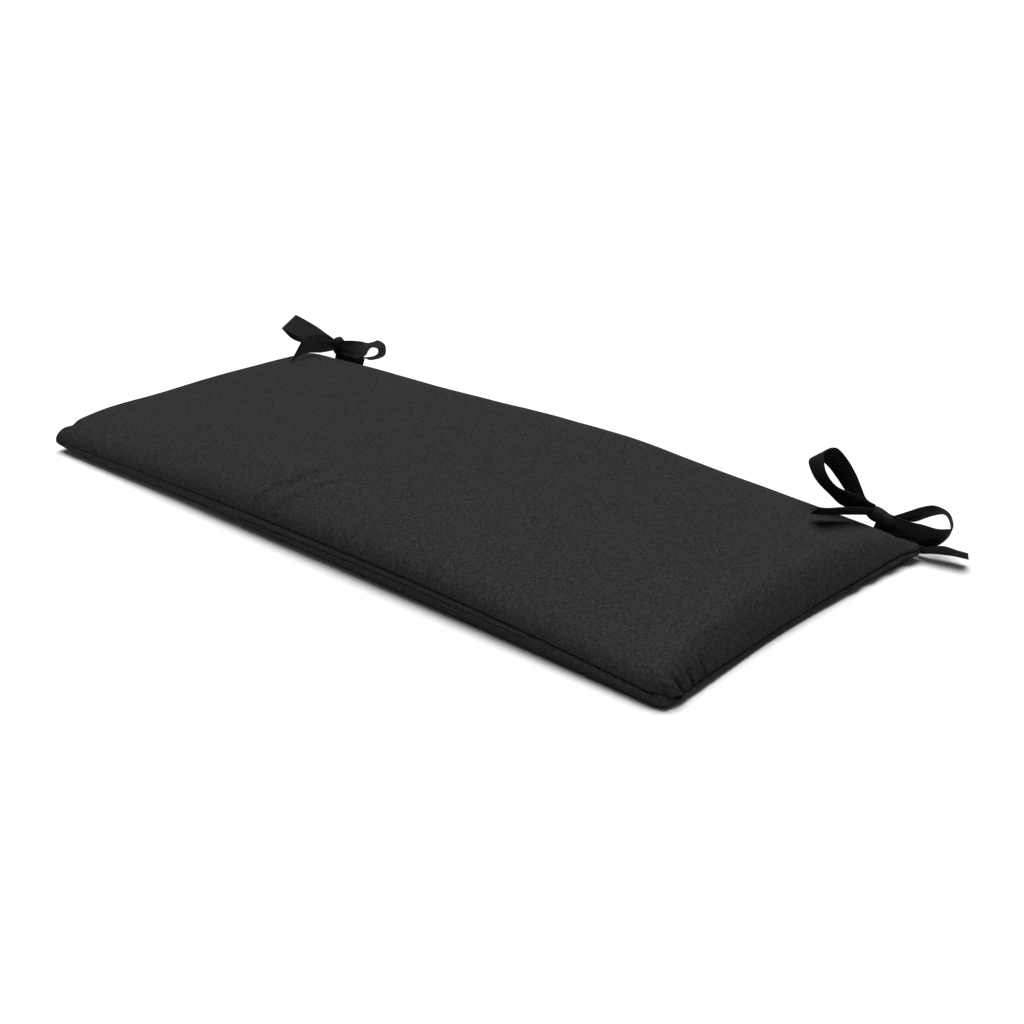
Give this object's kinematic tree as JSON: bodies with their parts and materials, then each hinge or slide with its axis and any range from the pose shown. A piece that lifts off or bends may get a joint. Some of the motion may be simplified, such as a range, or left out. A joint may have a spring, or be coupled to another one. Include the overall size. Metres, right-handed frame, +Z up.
{
  "type": "bench cushion",
  "caption": "Long, thin knife-edge seat cushion for a bench, with a ribbon tied in a bow near each back corner.",
  "frame": {"origin": "on the surface that the cushion lies on, under the middle of its bottom panel", "axes": "+X along the cushion's length towards its right end, +Y from the front edge to the back edge that carries the ties, +Z up"},
  "size_m": [1.2371, 0.5521, 0.1298],
  "materials": {
    "panel_cloth": "matt woven charcoal cloth, faintly heathered",
    "ribbon_cloth": "closely woven black ribbon with a low sheen"
  },
  "bodies": {
    "root": {"cushion": "panel_cloth", "tie_left": "ribbon_cloth", "tie_right": "ribbon_cloth"}
  },
  "joints": []
}
